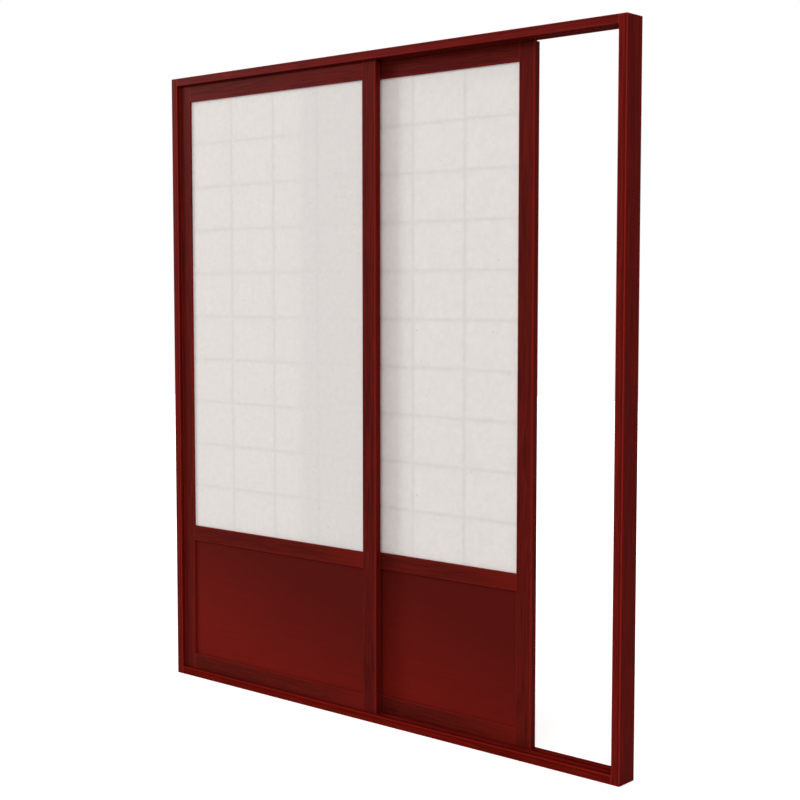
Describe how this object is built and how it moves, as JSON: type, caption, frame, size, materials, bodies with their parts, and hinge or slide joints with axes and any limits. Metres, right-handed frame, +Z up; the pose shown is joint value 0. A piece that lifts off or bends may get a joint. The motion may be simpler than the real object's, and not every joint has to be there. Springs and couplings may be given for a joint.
{
  "type": "shoji sliding screen",
  "caption": "Shoji sliding screen: paper-backed lattice doors with kick panels that pass each other in the grooved head and sill of a red-stained wooden doorway frame.",
  "frame": {"origin": "On the floor under the frame, midway along its width and midway through its depth.", "axes": "+X runs along the doorway, to the right for a viewer on the paper side. +Y runs from the paper side through the doors to the lattice side. +Z is up."},
  "size_m": [1.83, 0.074, 2.06],
  "materials": {
    "frame_wood": "rosewood-red stain under a satin lacquer",
    "door_wood": "rosewood-red stain under a satin lacquer",
    "panel_wood": "rosewood-red stained veneer under a satin lacquer",
    "lattice_wood": "rosewood-red stain, satin",
    "dowel_wood": "bare hardwood",
    "paper": "matt translucent fibre paper"
  },
  "bodies": {
    "frame": {"left_jamb": "frame_wood", "right_jamb": "frame_wood", "head": "frame_wood", "sill": "frame_wood", "corner_dowels": "dowel_wood"},
    "near_door": {"near_door_left_stile": "door_wood", "near_door_right_stile": "door_wood", "near_door_top_rail": "door_wood", "near_door_middle_rail": "door_wood", "near_door_bottom_rail": "door_wood", "near_door_kick_panel": "panel_wood", "near_door_paper": "paper", "near_door_lattice_upright_1": "lattice_wood", "near_door_lattice_upright_2": "lattice_wood", "near_door_lattice_upright_3": "lattice_wood", "near_door_lattice_crossbar_1": "lattice_wood", "near_door_lattice_crossbar_2": "lattice_wood", "near_door_lattice_crossbar_3": "lattice_wood", "near_door_lattice_crossbar_4": "lattice_wood", "near_door_lattice_crossbar_5": "lattice_wood", "near_door_lattice_crossbar_6": "lattice_wood", "near_door_lattice_crossbar_7": "lattice_wood", "near_door_lattice_crossbar_8": "lattice_wood", "near_door_lattice_crossbar_9": "lattice_wood"},
    "far_door": {"far_door_left_stile": "door_wood", "far_door_right_stile": "door_wood", "far_door_top_rail": "door_wood", "far_door_middle_rail": "door_wood", "far_door_bottom_rail": "door_wood", "far_door_kick_panel": "panel_wood", "far_door_paper": "paper", "far_door_lattice_upright_1": "lattice_wood", "far_door_lattice_upright_2": "lattice_wood", "far_door_lattice_upright_3": "lattice_wood", "far_door_lattice_crossbar_1": "lattice_wood", "far_door_lattice_crossbar_2": "lattice_wood", "far_door_lattice_crossbar_3": "lattice_wood", "far_door_lattice_crossbar_4": "lattice_wood", "far_door_lattice_crossbar_5": "lattice_wood", "far_door_lattice_crossbar_6": "lattice_wood", "far_door_lattice_crossbar_7": "lattice_wood", "far_door_lattice_crossbar_8": "lattice_wood", "far_door_lattice_crossbar_9": "lattice_wood"}
  },
  "joints": [
    {"name": "near_door_slide", "type": "slide", "parent": "frame", "child": "near_door", "axis": [1, 0, 0], "range_m": [0, 0.8709]},
    {"name": "far_door_slide", "type": "slide", "parent": "frame", "child": "far_door", "axis": [1, 0, 0], "range_m": [-0.5732, 0.2977]}
  ]
}
